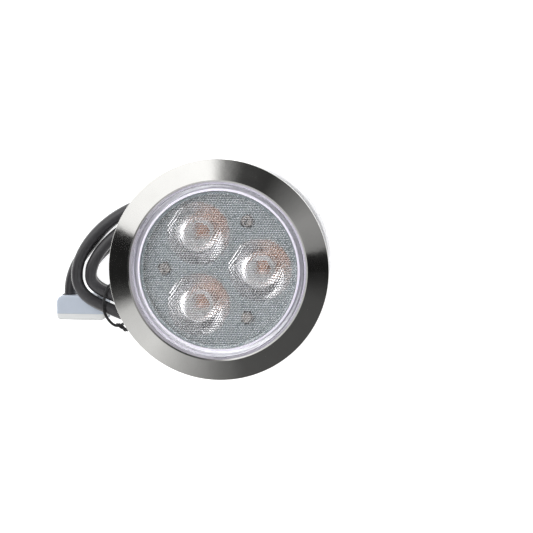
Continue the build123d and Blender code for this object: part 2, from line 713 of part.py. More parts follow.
coil_points.append(bend_point(LEAD_TURN))
bend_heading = (-sin(radians(LEAD_TURN)), -cos(radians(LEAD_TURN)), 0)

COIL_STRETCHES = 11           # the coil is swept in stretches, which join into one solid

with BuildLine() as coil_path:
    Spline(*coil_points, tangents=((exit_x, exit_y, 0), bend_heading), tangent_scalars=(1, 1))

with BuildPart() as lead_cable:
    # Down through the gland, and a quarter bend to the lowest turn.
    bend_out = BEND_RADIUS * (1 - cos(pi / 4))
    bend_middle = (bend_out * exit_x, bend_out * exit_y, GLAND_END - BEND_RADIUS * sin(pi / 4))
    with BuildLine() as entry_path:
        Line((0, 0, CABLE_INNER_END), (0, 0, GLAND_END))
        ThreePointArc((0, 0, GLAND_END), bend_middle, coil_points[0])
    with BuildSketch(Plane(origin=(0, 0, CABLE_INNER_END), z_dir=(0, 0, -1))):
        Circle(CABLE_RADIUS)
    sweep(path=entry_path.wire())
    for index in range(COIL_STRETCHES):
        stretch = coil_path.edge().trim(index / COIL_STRETCHES, (index + 1) / COIL_STRETCHES)
        with BuildSketch(Plane(origin=stretch @ 0, z_dir=stretch % 0)):
            Circle(CABLE_RADIUS)
        sweep(path=stretch)
    with BuildLine() as end_path:
        ThreePointArc(coil_points[-1], bend_point(LEAD_TURN / 2), bend_point(0))
        Line(bend_point(0), (LEAD_ENTRY_X, CONNECTOR_BACK - CABLE_END_DEPTH, LEAD_LAYER))
    with BuildSketch(Plane(origin=coil_points[-1], z_dir=bend_heading)):
        Circle(CABLE_RADIUS)
    sweep(path=end_path.wire())
save(lead_cable, "lead_cable")

# ================================================================ twist tie round the coil
TIE_RADIUS = 0.55
# Round the strands: up their outer side, over them, down inside the inner strand and back below.
TIE_LOOP = [
    (-46.9, -28.3, -50.2), (-50.6, -25.4, -46.6), (-52.0, -20.6, -44.8), (-51.2, -15.0, -44.9),
    (-49.6, -11.6, -48.4), (-48.2, -12.9, -53.8), (-46.9, -18.0, -56.5), (-45.8, -24.4, -54.6),
]
TIE_HALF = len(TIE_LOOP) // 2
TAIL_STEPS = 4
TAIL_TWIST = 0.5              # radius of each end round the tail's middle line


def tie_point(index):
    """Point of the loop, counted on round it."""
    return TIE_LOOP[index % len(TIE_LOOP)]


def tie_heading(index):
    """The way the wire runs at a point of the loop."""
    return tuple(q - p for p, q in zip(tie_point(index - 1), tie_point(index + 1)))


with BuildPart() as twist_tie:
    # The loop is swept in two halves.
    for first in (0, TIE_HALF):
        with BuildLine() as tie_path:
            Spline(
                *[tie_point(first + step) for step in range(TIE_HALF + 1)],
                tangents=(tie_heading(first), tie_heading(first + TIE_HALF)),
            )
        with BuildSketch(Plane(origin=tie_path.edge() @ 0, z_dir=tie_path.edge() % 0)):
            Circle(TIE_RADIUS)
        sweep(path=tie_path.edge())
    # The two ends are twisted together into a short tail.
    for phase in (0, pi):
        with BuildLine() as tail_path:
            Spline(*[
                (
                    TIE_LOOP[0][0] - 0.6 + 0.85 * step + TAIL_TWIST * cos(phase + step * pi / 2),
                    TIE_LOOP[0][1] + 0.5 - 0.6 * step,
                    TIE_LOOP[0][2] + TAIL_TWIST * sin(phase + step * pi / 2),
                )
                for step in range(TAIL_STEPS + 1)
            ])
        with BuildSketch(Plane(origin=tail_path.line @ 0, z_dir=tail_path.line % 0)):
            Circle(TIE_RADIUS)
        sweep(path=tail_path.line)
save(twist_tie, "twist_tie")

# ================================================================ cable connector
SLOT_HEIGHT = 5.6             # room for a flat two-core garden cable, 2.8 x 5.6
SLOT_IN_BASE = 1.9
SLOT_IN_LID = 0.9
CONNECTOR_LENGTH = CONNECTOR_RIGHT - CONNECTOR_LEFT
CONNECTOR_CENTRE_X = (CONNECTOR_LEFT + CONNECTOR_RIGHT) / 2
CONNECTOR_HEIGHT = CONNECTOR_TOP - CONNECTOR_BOTTOM
SEAL_RADIUS = 3.1
SEAL_DEPTH = 2.2
LATCH_X = -58.0
LATCH_WIDTH = 3.0
LATCH_DEPTH = 0.6             # how far the lid's tongue reaches into the base
LATCH_TOP = CONNECTOR_TOP - 0.8
LATCH_HEIGHT = 0.8
LATCH_ROOM = 0.25             # the tongue rises a little as the lid swings out
KNUCKLE_LENGTH = 5.0
LID_KNUCKLE_LENGTH = CONNECTOR_LENGTH - 2 * KNUCKLE_LENGTH - 0.3


def knuckle_plane(x):
    """Plane across the hinge line at a place along it, facing +X."""
    return Plane(origin=(x, HINGE_Y, HINGE_Z), x_dir=(0, 1, 0), z_dir=(1, 0, 0))


with BuildPart() as connector_base:
    with BuildSketch(Plane.XY.offset(CONNECTOR_BOTTOM)):
        with Locations((CONNECTOR_CENTRE_X, (CONNECTOR_BACK + CONNECTOR_SEAM) / 2)):
            Rectangle(CONNECTOR_LENGTH, CONNECTOR_BACK - CONNECTOR_SEAM)
    extrude(amount=CONNECTOR_HEIGHT)
    back_corners = connector_base.edges().filter_by(Axis.Z).group_by(Axis.Y)[-1]
    fillet(back_corners, 2.8)
    fillet(connector_base.faces().sort_by(Axis.Z)[-1].edges().filter_by(
        lambda edge: edge.center().Y > CONNECTOR_SEAM + 0.1
    ), 0.8)
    # Slot for the main cable, along X.
    with BuildSketch(Plane(origin=(CONNECTOR_LEFT, CONNECTOR_SEAM, CONNECTOR_MIDDLE + 0.6),
                           x_dir=(0, 1, 0), z_dir=(1, 0, 0))):
        Rectangle(2 * SLOT_IN_BASE, SLOT_HEIGHT)
    extrude(amount=CONNECTOR_LENGTH, mode=Mode.SUBTRACT)
    # Clearance round the lid's knuckle, then the base's own two knuckles.
    with BuildSketch(knuckle_plane(CONNECTOR_LEFT)):
        Circle(KNUCKLE_RADIUS + 0.2)
    extrude(amount=CONNECTOR_LENGTH, mode=Mode.SUBTRACT)
    for start in (CONNECTOR_LEFT, CONNECTOR_RIGHT - KNUCKLE_LENGTH):
        with BuildSketch(knuckle_plane(start)):
            Circle(KNUCKLE_RADIUS)
            with Locations((KNUCKLE_RADIUS / 2 + 0.4, -0.35)):
                Rectangle(KNUCKLE_RADIUS + 0.9, 2 * KNUCKLE_RADIUS - 0.8)
            Circle(HINGE_PIN_RADIUS, mode=Mode.SUBTRACT)
        extrude(amount=KNUCKLE_LENGTH)
    # Seat of the lead's seal, and the notch that the lid's latch drops into.
    with BuildSketch(Plane(origin=(LEAD_ENTRY_X, CONNECTOR_BACK, LEAD_LAYER),
                           x_dir=(1, 0, 0), z_dir=(0, -1, 0))):
        Circle(SEAL_RADIUS)
    extrude(amount=SEAL_DEPTH, mode=Mode.SUBTRACT)
    with BuildSketch(Plane.XY.offset(LATCH_TOP + LATCH_ROOM)):
        with Locations((LATCH_X, CONNECTOR_SEAM)):
            Rectangle(LATCH_WIDTH + 0.3, 2 * LATCH_DEPTH + 0.3)
    extrude(amount=-LATCH_HEIGHT - LATCH_ROOM - 0.1, mode=Mode.SUBTRACT)
save(connector_base, "connector_base")

with BuildPart() as connector_lid:
    lid_plane = Plane(origin=(CONNECTOR_LEFT, 0, 0), x_dir=(0, 1, 0), z_dir=(1, 0, 0))
    lid_bottom = HINGE_Z + 0.2
    lid_thickness = CONNECTOR_SEAM - 0.05 - CONNECTOR_FRONT
    with BuildSketch(lid_plane):
        with Locations((CONNECTOR_FRONT + lid_thickness / 2, (CONNECTOR_TOP + lid_bottom) / 2)):
            Rectangle(lid_thickness, CONNECTOR_TOP - lid_bottom)
    extrude(amount=CONNECTOR_LENGTH)
    fillet(connector_lid.edges().filter_by(Axis.Z).group_by(Axis.Y)[0], 1.6)
    fillet(connector_lid.faces().sort_by(Axis.Z)[-1].edges().group_by(Axis.Y)[0], 0.8)
    # Room for the base's knuckles at both ends of the hinge line.
    for start in (CONNECTOR_LEFT - 0.1, CONNECTOR_RIGHT - KNUCKLE_LENGTH - 0.15):
        with BuildSketch(knuckle_plane(start)):
            Circle(KNUCKLE_RADIUS + 0.2)
        extrude(amount=KNUCKLE_LENGTH + 0.25, mode=Mode.SUBTRACT)
    with BuildSketch(knuckle_plane(CONNECTOR_LEFT + KNUCKLE_LENGTH + 0.15)):
        Circle(KNUCKLE_RADIUS)
    extrude(amount=LID_KNUCKLE_LENGTH)
    with BuildSketch(knuckle_plane(CONNECTOR_LEFT)):
        Circle(HINGE_PIN_RADIUS + RUNNING_GAP)
    extrude(amount=CONNECTOR_LENGTH, mode=Mode.SUBTRACT)
    # Half of the cable slot, and the latch tongue with its finger notch.
    with BuildSketch(Plane(origin=(CONNECTOR_LEFT, CONNECTOR_SEAM, CONNECTOR_MIDDLE + 0.6),
                           x_dir=(0, 1, 0), z_dir=(1, 0, 0))):
        Rectangle(2 * SLOT_IN_LID, SLOT_HEIGHT)
    extrude(amount=CONNECTOR_LENGTH, mode=Mode.SUBTRACT)
    with BuildSketch(Plane.XY.offset(LATCH_TOP - LATCH_HEIGHT)):
        with Locations((LATCH_X, CONNECTOR_SEAM)):
            Rectangle(LATCH_WIDTH, 2 * LATCH_DEPTH)
    extrude(amount=LATCH_HEIGHT)
    with BuildSketch(Plane.XY.offset(CONNECTOR_TOP)):
        with Locations((LATCH_X, CONNECTOR_FRONT)):
            Rectangle(LATCH_WIDTH - 1.0, 1.0)
    extrude(amount=-1.4, mode=Mode.SUBTRACT)
save(connector_lid, "connector_lid")

with BuildPart() as hinge_pin:
    with BuildSketch(knuckle_plane(CONNECTOR_LEFT + 0.2)):
        Circle(HINGE_PIN_RADIUS)
    extrude(amount=CONNECTOR_LENGTH - 0.4)
save(hinge_pin, "hinge_pin")

with BuildPart() as lead_grommet:
    with BuildSketch(Plane(origin=(LEAD_ENTRY_X, CONNECTOR_BACK, LEAD_LAYER),
                           x_dir=(1, 0, 0), z_dir=(0, -1, 0))):
        Circle(SEAL_RADIUS - 0.02)
        Circle(CABLE_RADIUS + 0.04, mode=Mode.SUBTRACT)
    extrude(amount=SEAL_DEPTH - 0.05)
save(lead_grommet, "lead_grommet")

CONTACT_RADIUS = 0.5
CONTACT_XS = (-64.5, -60.5)
CONTACT_HEIGHTS = (CONNECTOR_MIDDLE + 0.6 - 1.4, CONNECTOR_MIDDLE + 0.6 + 1.4)
SLOT_FLOOR_Y = CONNECTOR_SEAM + SLOT_IN_BASE

with BuildPart() as piercing_contacts:
    for contact_x, contact_z in zip(CONTACT_XS, CONTACT_HEIGHTS):
        with BuildSketch(Plane(origin=(contact_x, SLOT_FLOOR_Y, contact_z),
                               x_dir=(1, 0, 0), z_dir=(0, -1, 0))):
            Circle(CONTACT_RADIUS)
        extrude(amount=1.3)
        with BuildSketch(Plane(origin=(contact_x, SLOT_FLOOR_Y - 1.3, contact_z),
                               x_dir=(1, 0, 0), z_dir=(0, -1, 0))):
            Circle(CONTACT_RADIUS)
        extrude(amount=0.9, taper=28)
save(piercing_contacts, "piercing_contacts")

SEAL_PAD_LENGTH = 15.0

with BuildPart() as lid_seal:
    with BuildSketch(Plane(origin=(CONNECTOR_CENTRE_X - SEAL_PAD_LENGTH / 2,
                                   CONNECTOR_SEAM - SLOT_IN_LID + 0.2, CONNECTOR_MIDDLE + 0.6),
                           x_dir=(0, 1, 0), z_dir=(1, 0, 0))):
        Rectangle(0.36, SLOT_HEIGHT - 0.2)
    extrude(amount=SEAL_PAD_LENGTH)
save(lid_seal, "lid_seal")
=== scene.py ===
"""Recessed LED spotlight: looks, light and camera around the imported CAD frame."""

import json
import math

import bmesh
import bpy
from mathutils import Matrix, Vector


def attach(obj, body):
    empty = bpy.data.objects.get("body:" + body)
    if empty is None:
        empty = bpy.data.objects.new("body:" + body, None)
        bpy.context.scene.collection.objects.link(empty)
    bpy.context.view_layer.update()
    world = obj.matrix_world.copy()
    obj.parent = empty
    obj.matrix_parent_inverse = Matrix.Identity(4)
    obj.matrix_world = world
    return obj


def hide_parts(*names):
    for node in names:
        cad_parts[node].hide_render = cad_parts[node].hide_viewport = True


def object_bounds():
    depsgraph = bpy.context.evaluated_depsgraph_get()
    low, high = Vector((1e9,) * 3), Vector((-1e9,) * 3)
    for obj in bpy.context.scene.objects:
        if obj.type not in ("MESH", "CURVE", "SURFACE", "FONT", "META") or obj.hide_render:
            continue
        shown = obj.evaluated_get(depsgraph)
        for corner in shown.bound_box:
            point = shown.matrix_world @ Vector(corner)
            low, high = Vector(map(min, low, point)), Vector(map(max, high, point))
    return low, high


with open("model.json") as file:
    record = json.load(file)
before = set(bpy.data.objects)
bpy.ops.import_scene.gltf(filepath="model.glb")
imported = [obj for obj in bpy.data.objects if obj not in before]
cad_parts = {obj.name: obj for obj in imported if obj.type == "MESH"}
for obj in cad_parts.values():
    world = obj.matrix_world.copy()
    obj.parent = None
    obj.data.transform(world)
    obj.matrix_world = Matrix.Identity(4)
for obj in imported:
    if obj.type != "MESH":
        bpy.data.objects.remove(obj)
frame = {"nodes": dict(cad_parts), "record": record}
cad_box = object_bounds()

MM = 0.001
NODES = frame["nodes"]


# ---------------------------------------------------------------- node helpers
def new_material(name):
    """Empty node material and its tree."""
    material = bpy.data.materials.new(name)
    material.use_nodes = True
    tree = material.node_tree
    tree.nodes.clear()
    return material, tree


def add_node(tree, kind, values=None, **settings):
    """One node, with its settings and the starting values of its inputs."""
    node = tree.nodes.new(kind)
    for key, value in settings.items():
        setattr(node, key, value)
    for key, value in (values or {}).items():
        node.inputs[key].default_value = value
    return node


def join(tree, source, target):
    """Link one socket to another."""
    tree.links.new(source, target)


def rgba(colour):
    """Colour with full alpha."""
    return (*colour, 1.0)


def coordinates(tree, scale=(1, 1, 1)):
    """Object coordinates in millimetres, stretched by scale."""
    source = add_node(tree, "ShaderNodeTexCoord")
    mapping = add_node(tree, "ShaderNodeMapping")
    mapping.inputs["Scale"].default_value = [1000 * s for s in scale]
    join(tree, source.outputs["Object"], mapping.inputs["Vector"])
    return mapping.outputs["Vector"]


def noise(tree, vector, scale, detail=4.0, roughness=0.55):
    """Noise value, scale in features per millimetre."""
    node = add_node(
        tree, "ShaderNodeTexNoise", {"Scale": scale, "Detail": detail, "Roughness": roughness}
    )
    join(tree, vector, node.inputs["Vector"])
    return node.outputs["Fac"]


def span(tree, value, low, high, to_low=0.0, to_high=1.0, smooth=False):
    """Map Range: value from low..high to to_low..to_high."""
    node = add_node(
        tree,
        "ShaderNodeMapRange",
        {"From Min": low, "From Max": high, "To Min": to_low, "To Max": to_high},
    )
    if smooth:
        node.interpolation_type = "SMOOTHSTEP"
    join(tree, value, node.inputs["Value"])
    return node.outputs["Result"]


def mix_colour(tree, factor, a, b):
    """Colour mix; a and b are sockets or RGB triples."""
    node = add_node(tree, "ShaderNodeMix", data_type="RGBA")
    join(tree, factor, node.inputs["Factor"])
    for socket, value in ((node.inputs["A"], a), (node.inputs["B"], b)):
        if isinstance(value, tuple):
            socket.default_value = rgba(value)
        else:
            join(tree, value, socket)
    return node.outputs["Result"]


def calculate(tree, operation, a, b=None):
    """Math node; a and b are sockets or numbers."""
    node = add_node(tree, "ShaderNodeMath", operation=operation)
    for index, value in enumerate((a, b)):
        if value is None:
            continue
        if isinstance(value, (int, float)):
            node.inputs[index].default_value = value
        else:
            join(tree, value, node.inputs[index])
    return node.outputs[0]


def bump(tree, height, distance_mm, strength=1.0, normal=None):
    """Normal bumped by a height, on top of another normal if one is given."""
    node = add_node(tree, "ShaderNodeBump", {"Strength": strength, "Distance": distance_mm * MM})
    join(tree, height, node.inputs["Height"])
    if normal is not None:
        join(tree, normal, node.inputs["Normal"])
    return node.outputs["Normal"]


def finish_surface(tree, shader):
    """Shader to the material's output."""
    output = add_node(tree, "ShaderNodeOutputMaterial")
    join(tree, shader, output.inputs["Surface"])


def moulded(name, colour, rough, grain=0.02, grain_scale=6.0, spread=0.06, specular=0.5, coat=0.0):
    """Moulded plastic or rubber: fine grain, cloudy colour and gloss."""
    material, tree = new_material(name)
    place = coordinates(tree)
    cloud = noise(tree, place, 0.35, 3)
    speck = noise(tree, place, grain_scale, 5, 0.6)
    darker = tuple(c * (1 - spread) for c in colour)
    lighter = tuple(min(1.0, c * (1 + spread * 0.6)) for c in colour)
    shader = add_node(tree, "ShaderNodeBsdfPrincipled", {"Specular IOR Level": specular})
    shader.inputs["Coat Weight"].default_value = coat
    shader.inputs["Coat Roughness"].default_value = 0.08
    join(tree, mix_colour(tree, cloud, darker, lighter), shader.inputs["Base Color"])
    join(tree, span(tree, speck, 0.3, 0.7, rough * 0.85, rough * 1.15), shader.inputs["Roughness"])
    join(tree, bump(tree, speck, grain), shader.inputs["Normal"])
    finish_surface(tree, shader.outputs["BSDF"])
    return material


def metal(name, colour, rough, streak=(1, 1, 12), streak_scale=1.5, depth=0.01):
    """Plain metal with fine tool marks along one axis."""
    material, tree = new_material(name)
    marks = noise(tree, coordinates(tree, streak), streak_scale, 4, 0.6)
    shader = add_node(tree, "ShaderNodeBsdfPrincipled", {"Metallic": 1.0})
    shade = mix_colour(tree, marks, tuple(c * 0.82 for c in colour), colour)
    join(tree, shade, shader.inputs["Base Color"])
    join(tree, span(tree, marks, 0.25, 0.75, rough * 0.8, rough * 1.3), shader.inputs["Roughness"])
    join(tree, bump(tree, marks, depth), shader.inputs["Normal"])
    finish_surface(tree, shader.outputs["BSDF"])
    return material


def turned_steel():
    """Satin stainless steel turned on a lathe: fine grooves round the axis, slightly warm."""
    material, tree = new_material("stainless")
    place = coordinates(tree)
    parts = add_node(tree, "ShaderNodeSeparateXYZ")
    join(tree, place, parts.inputs[0])
    squared = calculate(
        tree,
        "ADD",
        calculate(tree, "MULTIPLY", parts.outputs["X"], parts.outputs["X"]),
        calculate(tree, "MULTIPLY", parts.outputs["Y"], parts.outputs["Y"]),
    )
    radius = calculate(tree, "SQRT", squared)
    rings = add_node(
        tree,
        "ShaderNodeTexNoise",
        {"Scale": 5.0, "Detail": 3.0, "Roughness": 0.7},
        noise_dimensions="1D",
    )
    join(tree, radius, rings.inputs["W"])
    cloud = noise(tree, place, 0.16, 3, 0.5)
    shader = add_node(tree, "ShaderNodeBsdfPrincipled", {"Metallic": 1.0, "Anisotropic": 0.3})
    shade = mix_colour(tree, cloud, (0.68, 0.675, 0.655), (0.76, 0.755, 0.735))
    join(tree, shade, shader.inputs["Base Color"])
    join(tree, span(tree, cloud, 0.3, 0.7, 0.075, 0.11), shader.inputs["Roughness"])
    tangent = add_node(tree, "ShaderNodeTangent", direction_type="RADIAL", axis="Z")
    join(tree, tangent.outputs["Tangent"], shader.inputs["Tangent"])
    grooves = bump(tree, rings.outputs["Fac"], 0.0012)
    waves = bump(tree, cloud, 0.02, 1.0, grooves)
    join(tree, waves, shader.inputs["Normal"])
    finish_surface(tree, shader.outputs["BSDF"])
    return material


def clear_plastic(name, tint, rough, ior):
    """Clear plastic that lets lamp light through to what it covers."""
    material, tree = new_material(name)
    shader = add_node(
        tree,
        "ShaderNodeBsdfPrincipled",
        {"Base Color": rgba(tint), "Transmission Weight": 1.0, "IOR": ior},
    )
    place = coordinates(tree)
    haze = noise(tree, place, 0.4, 3)
    join(tree, span(tree, haze, 0.3, 0.7, rough * 0.6, rough * 1.4), shader.inputs["Roughness"])
    through = add_node(tree, "ShaderNodeBsdfTransparent", {"Color": rgba(tint)})
    path = add_node(tree, "ShaderNodeLightPath")
    mix = add_node(tree, "ShaderNodeMixShader")
    join(tree, path.outputs["Is Shadow Ray"], mix.inputs["Fac"])
    join(tree, shader.outputs["BSDF"], mix.inputs[1])
    join(tree, through.outputs["BSDF"], mix.inputs[2])
    finish_surface(tree, mix.outputs["Shader"])
    return material


def frosted_plastic(name, colour, rough, clearness, painted_glow=0.0):
    """Pale moulded plastic: part clear, part milky, with a painted glow: emission in its own colour
    that stands in for light scattered inside it.
    """
    material, tree = new_material(name)
    place = coordinates(tree, (1, 1, 0.4))
    cloud = noise(tree, place, 0.5, 4)
    # painted glow: the emission strength lights the plastic in its own colour, though it is no lamp
    shader = add_node(
        tree,
        "ShaderNodeBsdfPrincipled",
        {
            "IOR": 1.5,
            "Transmission Weight": clearness,
            "Specular IOR Level": 0.5,
            "Emission Strength": painted_glow,
        },
    )
    shade = mix_colour(tree, cloud, tuple(c * 0.93 for c in colour), colour)
    join(tree, shade, shader.inputs["Base Color"])
    join(tree, shade, shader.inputs["Emission Color"])
    join(tree, span(tree, cloud, 0.3, 0.7, rough * 0.8, rough * 1.2), shader.inputs["Roughness"])
    join(tree, bump(tree, cloud, 0.02), shader.inputs["Normal"])
    finish_surface(tree, shader.outputs["BSDF"])
    return material


DOME_FOOT = -11.9             # height at which the emitter's dome stands on its package
DOME_BLEND = 0.05


def emitter_material():
    """Grey ceramic package with a clear dome over warm phosphor."""
    material, tree = new_material("led_package")
    parts = add_node(tree, "ShaderNodeSeparateXYZ")
    join(tree, coordinates(tree), parts.inputs[0])
    dome = span(tree, parts.outputs["Z"], DOME_FOOT - DOME_BLEND, DOME_FOOT + DOME_BLEND)
    shader = add_node(tree, "ShaderNodeBsdfPrincipled", {"Roughness": 0.25})
    shade = mix_colour(tree, dome, (0.10, 0.095, 0.09), (0.24, 0.085, 0.02))
    join(tree, shade, shader.inputs["Base Color"])
    join(tree, dome, shader.inputs["Coat Weight"])
    finish_surface(tree, shader.outputs["BSDF"])
    return material


MATERIALS = {
    "stainless": turned_steel(),
    "clear_plastic": clear_plastic("clear_plastic", (0.975, 0.97, 0.985), 0.02, 1.58),
    # cup_wall and lenslet_edge: the last number is a painted glow, emission standing in for light
    # scattered in the plastic
    "cup_wall": frosted_plastic("cup_wall", (0.83, 0.81, 0.88), 0.35, 0.1, 0.26),
    "lenslet_edge": frosted_plastic("lenslet_edge", (0.58, 0.59, 0.61), 0.3, 0.62, 0.02),
    "body_wall": frosted_plastic("body_wall", (0.78, 0.78, 0.81), 0.22, 0.45),
    "cap_plastic": frosted_plastic("cap_plastic", (0.84, 0.84, 0.86), 0.4, 0.0),
    "lens_plastic": clear_plastic("lens_plastic", (0.985, 0.985, 0.98), 0.01, 1.49),
    "holder_grey": moulded("holder_grey", (0.13, 0.16, 0.165), 0.45),
    "zinc_steel": metal("zinc_steel", (0.20, 0.185, 0.165), 0.36),
    "led_package": emitter_material(),
    "board_white": moulded("board_white", (0.26, 0.265, 0.26), 0.4),
    "pad_grey": moulded("pad_grey", (0.45, 0.46, 0.48), 0.8),
    "sink_aluminium": metal("sink_aluminium", (0.78, 0.79, 0.80), 0.35),
    "brass_parts": metal("brass_parts", (0.80, 0.62, 0.30), 0.3),
    "board_green": moulded("board_green", (0.03, 0.19, 0.08), 0.35, 0.01, 3.0, 0.2),
    "ferrite": moulded("ferrite", (0.055, 0.055, 0.06), 0.6),
    "copper_wire": metal("copper_wire", (0.78, 0.40, 0.22), 0.3, (1, 1, 30)),
    "capacitor_sleeve": moulded("capacitor_sleeve", (0.02, 0.025, 0.05), 0.3),
    "chip_black": moulded("chip_black", (0.02, 0.02, 0.021), 0.55, 0.03),
    "wire_red": moulded("wire_red", (0.55, 0.02, 0.02), 0.35),
    "wire_black": moulded("wire_black", (0.015, 0.015, 0.016), 0.35),
    "wire_brown": moulded("wire_brown", (0.18, 0.07, 0.03), 0.35),
    "wire_blue": moulded("wire_blue", (0.03, 0.10, 0.45), 0.35),
    "seal_rubber": moulded("seal_rubber", (0.025, 0.025, 0.027), 0.6, 0.02),
    "gland_plastic": moulded("gland_plastic", (0.04, 0.042, 0.045), 0.4, 0.015),
    "cable_jacket": moulded("cable_jacket", (0.038, 0.037, 0.040), 0.22, 0.003, 2.5, 0.1, 0.7),
    "tie_plastic": moulded("tie_plastic", (0.014, 0.014, 0.015), 0.4, 0.01),
    "connector_grey": moulded("connector_grey", (0.49, 0.54, 0.62), 0.42, 0.02, 5.0),
    "connector_pale": moulded("connector_pale", (0.72, 0.73, 0.73), 0.4, 0.02, 5.0),
}


# ---------------------------------------------------------------- clear cup with its lenslets
NOSE_RADIUS = 31.8            # the cup's measures in millimetres, as in the CAD
NOSE_BORE = 28.7
NOSE_FRONT = 2.3
WINDOW_BACK = -0.7
BODY_RADIUS = 36.0
BODY_BORE = 33.0
SHOULDER = -5.7
INNER_SHOULDER = -8.7
THREAD_TOP = -31.5
THREAD_RADIUS = 35.0
BODY_END = -38.0
NOSE_FILLET = 1.2
WINDOW_FILLET = 0.36          # the rounding between the window's inner face and the bore
CUP_SEGMENTS = 256

WALL_MARGIN = 0.05            # which faces of the cup are wall and not window
FRONT_ROUNDING = 1.3
NOSE_WALL_END = -8.2          # the nose's wall ends here, the body's wall is below

LUG_ANGLES = (30, 150, 270)
LUG_HALF_ANGLE = 4.0
LUG_RADIUS = 33.2
LUG_BOTTOM = -4.5
LUG_TOP = -3.4
LUG_ROOT = 0.3                # depth of a lug's foot in the nose
LUG_STEPS = 4                 # steps in each half of a lug

LENSLET_PITCH = 0.96
LENSLET_FIELD = 28.2          # radius of the field of lenslets
LENSLET_SAG = 0.075
LENSLET_FLAT = 0.72           # share of a lenslet that is clear, inside its moulded edge
CLEAR_WALL, NOSE_WALL, EDGING, BODY_WALL = range(4)     # the cup's material slots


def rounded(points, steps=5):
    """Profile with its corners rounded: each point is (r, z, corner radius)."""
    line = []
    for index, (r, z, radius) in enumerate(points):
        corner = Vector((r, z))
        if not radius or index in (0, len(points) - 1):
            line.append(corner)
            continue
        before = (Vector(points[index - 1][:2]) - corner).normalized()
        after = (Vector(points[index + 1][:2]) - corner).normalized()
        half = before.angle(after) / 2
        reach = radius / math.tan(half)
        centre = corner + (before + after).normalized() * (radius / math.sin(half))
        start, end = corner + before * reach, corner + after * reach
        for step in range(steps + 1):
            share = step / steps
            arm = (start - centre).slerp(end - centre, share)
            line.append(centre + arm)
    return line


def ring_vertex(bm, r, angle, z):
    """Vertex at a radius, an angle in radians and a height, in millimetres."""
    return bm.verts.new((r * MM * math.cos(angle), r * MM * math.sin(angle), z * MM))


def lathe(bm, profile, segments):
    """Turn a profile of (r, z) round Z. Points on the axis become one vertex."""
    rings = []
    for r, z in profile:
        count = segments if r > 0 else 1
        rings.append([ring_vertex(bm, r, 2 * math.pi * i / segments, z) for i in range(count)])
    for one, two in zip(rings, rings[1:]):
        for i in range(segments):
            j = (i + 1) % segments
            corners = [one[i % len(one)], one[j % len(one)], two[j % len(two)], two[i % len(two)]]
            unique = list(dict.fromkeys(corners))
            if len(unique) > 2:
                bm.faces.new(unique).smooth = True
    return rings


def lenslet_centres():
    """Centres of the lenslets that lie whole inside the field, on a hexagonal grid."""
    row_pitch = LENSLET_PITCH * math.sqrt(3) / 2
    rows = int(LENSLET_FIELD / row_pitch) + 1
    for row in range(-rows, rows + 1):
        y = row * row_pitch
        for column in range(-rows - 2, rows + 3):
            x = (column + 0.5 * (row % 2)) * LENSLET_PITCH
            if math.hypot(x, y) <= LENSLET_FIELD - LENSLET_PITCH / math.sqrt(3):
                yield x, y


def lenslet_field(bm):
    """Hexagonal lenslets that bulge down from the window's inner face. Returns the open edge loop."""
    rim = LENSLET_PITCH / math.sqrt(3)
    verts = {}

    def vertex(centre, reach, degrees, fall):
        x = centre[0] + reach * math.cos(math.radians(degrees))
        y = centre[1] + reach * math.sin(math.radians(degrees))
        key = (round(x, 3), round(y, 3))
        if key not in verts:
            verts[key] = bm.verts.new((x * MM, y * MM, (WINDOW_BACK - fall) * MM))
        return verts[key]

    def fall(distance):
        return LENSLET_SAG * (1 - (distance / rim) ** 2)

    flat = rim * LENSLET_FLAT
    apothem = LENSLET_PITCH / 2
    for centre in lenslet_centres():
        middle = vertex(centre, 0, 0, fall(0))
        inner = [vertex(centre, flat, 30 + 60 * k, fall(flat)) for k in range(6)]
        corners = [vertex(centre, rim, 30 + 60 * k, 0) for k in range(6)]
        sides = [vertex(centre, apothem, 60 + 60 * k, fall(apothem)) for k in range(6)]
        for k in range(6):
            n = (k + 1) % 6
            clear = ((middle, inner[n], inner[k]), (inner[k], inner[n], sides[k]))
            edging = ((inner[k], sides[k], corners[k]), (inner[n], corners[n], sides[k]))
            for slot, triangles in ((CLEAR_WALL, clear), (EDGING, edging)):
                for triangle in triangles:
                    face = bm.faces.new(triangle)
                    face.smooth = True
                    face.material_index = slot
            for corner in (corners[k], corners[n]):
                bm.edges.get((corner, sides[k])).smooth = False
    return [e for e in bm.edges if e.is_boundary]


def add_lug(bm, angle):
    """Bayonet lug on the nose, a short piece of ring."""
    sections = []
    root = NOSE_RADIUS - LUG_ROOT
    corners = (
        (root, LUG_BOTTOM), (LUG_RADIUS, LUG_BOTTOM), (LUG_RADIUS, LUG_TOP), (root, LUG_TOP),
    )
    for step in range(-LUG_STEPS, LUG_STEPS + 1):
        turn = math.radians(angle + LUG_HALF_ANGLE * step / LUG_STEPS)
        sections.append([ring_vertex(bm, r, turn, z) for r, z in corners])
    for one, other in zip(sections, sections[1:]):
        for k in range(4):
            n = (k + 1) % 4
            bm.faces.new((one[k], one[n], other[n], other[k]))
    bm.faces.new(sections[0])
    bm.faces.new(sections[-1])


